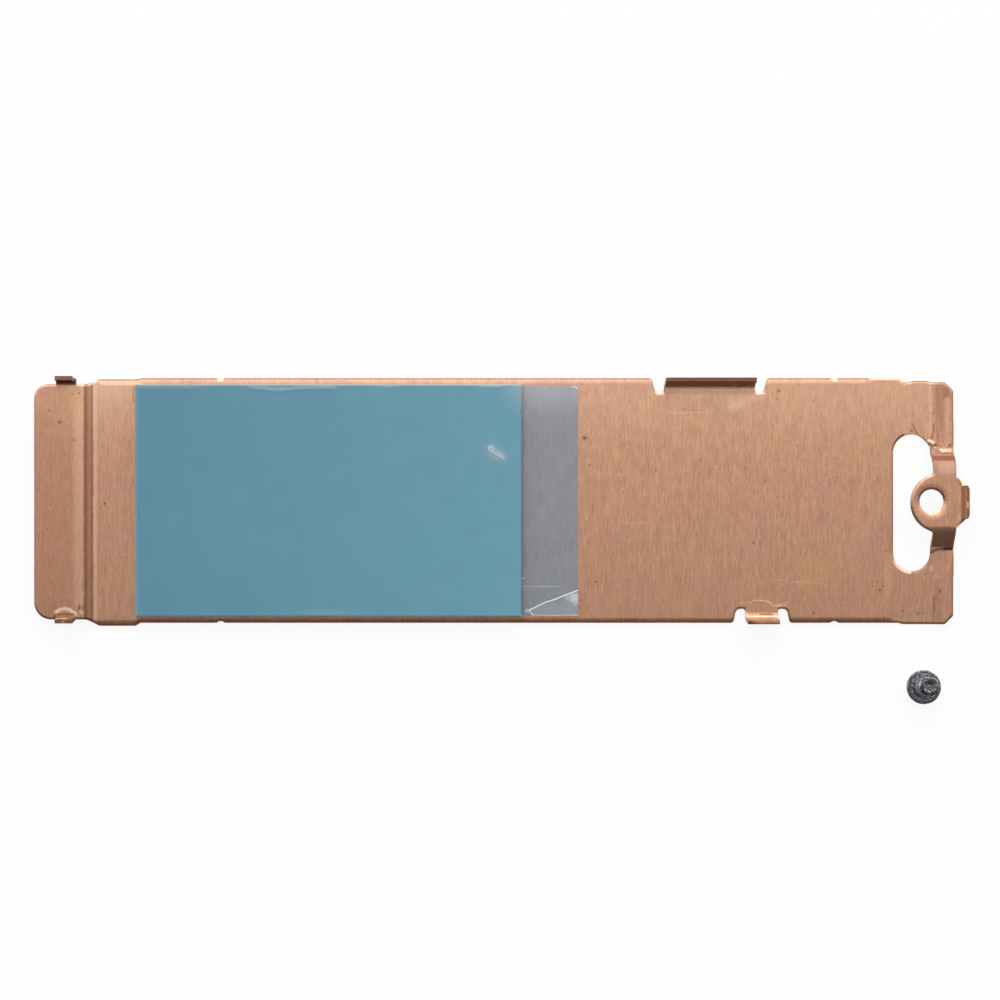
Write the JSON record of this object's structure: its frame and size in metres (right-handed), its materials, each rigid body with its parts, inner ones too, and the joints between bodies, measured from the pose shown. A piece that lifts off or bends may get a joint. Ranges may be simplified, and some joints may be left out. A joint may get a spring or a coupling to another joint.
{
  "type": "ssd heat sink",
  "caption": "Stamped copper heat plate for a card-shaped solid state drive, with folded side tabs, a cranked screw ring, a thermal pad under its release film, and its screw.",
  "frame": {"origin": "on the plate's plain back face, on the centre line, halfway along the plate", "axes": "+X along the plate from the socket end to the screw ring, +Z out of the side that goes against the drive"},
  "size_m": [0.0928, 0.0327, 0.0043],
  "materials": {
    "copper": "satin bare copper, faintly streaked",
    "pad": "soft matte silicone pad",
    "film": "clear hazy liner",
    "screw": "black plated steel"
  },
  "bodies": {
    "root": {"heat_plate": "copper", "thermal_pad": "pad", "release_film": "film", "mounting_screw": "screw"}
  },
  "joints": []
}
